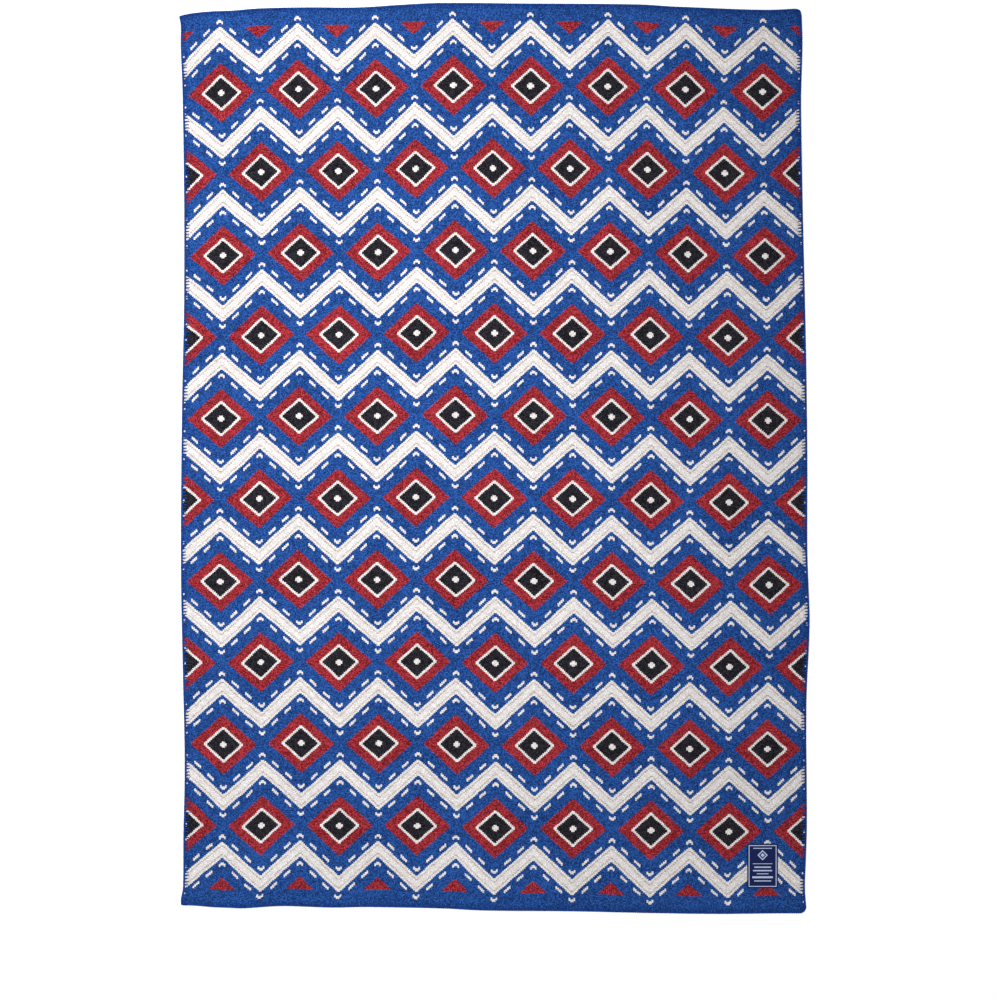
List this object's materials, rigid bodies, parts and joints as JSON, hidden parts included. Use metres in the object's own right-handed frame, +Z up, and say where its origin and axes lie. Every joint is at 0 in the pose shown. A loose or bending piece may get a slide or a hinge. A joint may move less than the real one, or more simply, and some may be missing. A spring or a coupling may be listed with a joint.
{
  "type": "wool throw",
  "caption": "Felted jacquard wool throw laid out flat, with a whip-stitched edge and a woven label sewn on near one corner.",
  "frame": {"origin": "on the floor, under the middle of the cloth's laid outline", "axes": "+X across the cloth, +Y along it to the end away from the label, +Z up out of its face"},
  "size_m": [1.2842, 1.8572, 0.0081],
  "materials": {
    "wool_cloth": "felted and napped jacquard wool, matte",
    "edge_yarn": "twisted wool yarn, matte",
    "label_satin": "woven satin, soft sheen"
  },
  "bodies": {
    "root": {"throw_cloth": "wool_cloth", "woven_label": "label_satin"}
  },
  "joints": []
}
